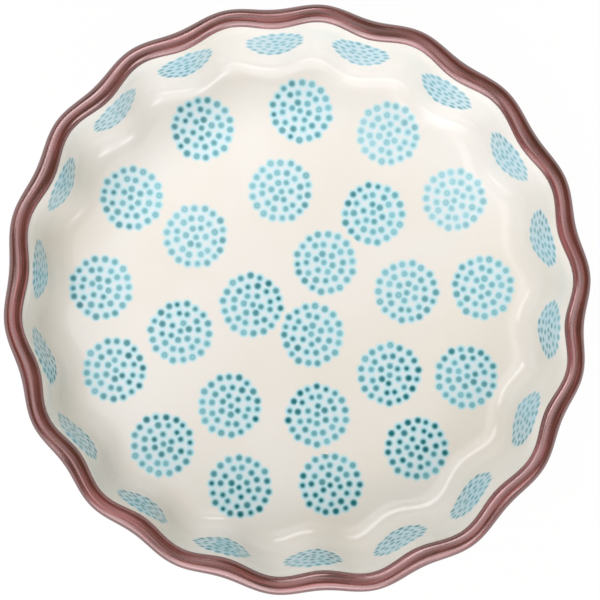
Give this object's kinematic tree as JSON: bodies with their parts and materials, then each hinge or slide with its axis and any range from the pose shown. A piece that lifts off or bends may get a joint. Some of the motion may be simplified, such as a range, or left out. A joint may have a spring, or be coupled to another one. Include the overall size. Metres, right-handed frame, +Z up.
{
  "type": "tart dish",
  "caption": "Round shallow stoneware tart dish with a flat floor, a flared fluted wall, a rolled lip under a coloured glaze band and a bare foot ring, for baking and serving a small tart.",
  "frame": {"origin": "on the resting plane, under the middle of the dish", "axes": "+Z up out of the dish's mouth along its axis, +X through the middle of an outward flute"},
  "size_m": [0.16, 0.158, 0.03],
  "materials": {
    "bare_stoneware": "unglazed, matt, buff",
    "cream_glaze": "glossy cream glaze",
    "rose_glaze": "glossy rose-brown glaze"
  },
  "bodies": {
    "root": {"stoneware_body": "bare_stoneware", "inside_glaze": "cream_glaze", "outside_glaze": "cream_glaze", "underside_glaze": "cream_glaze", "rim_band": "rose_glaze"}
  },
  "joints": []
}
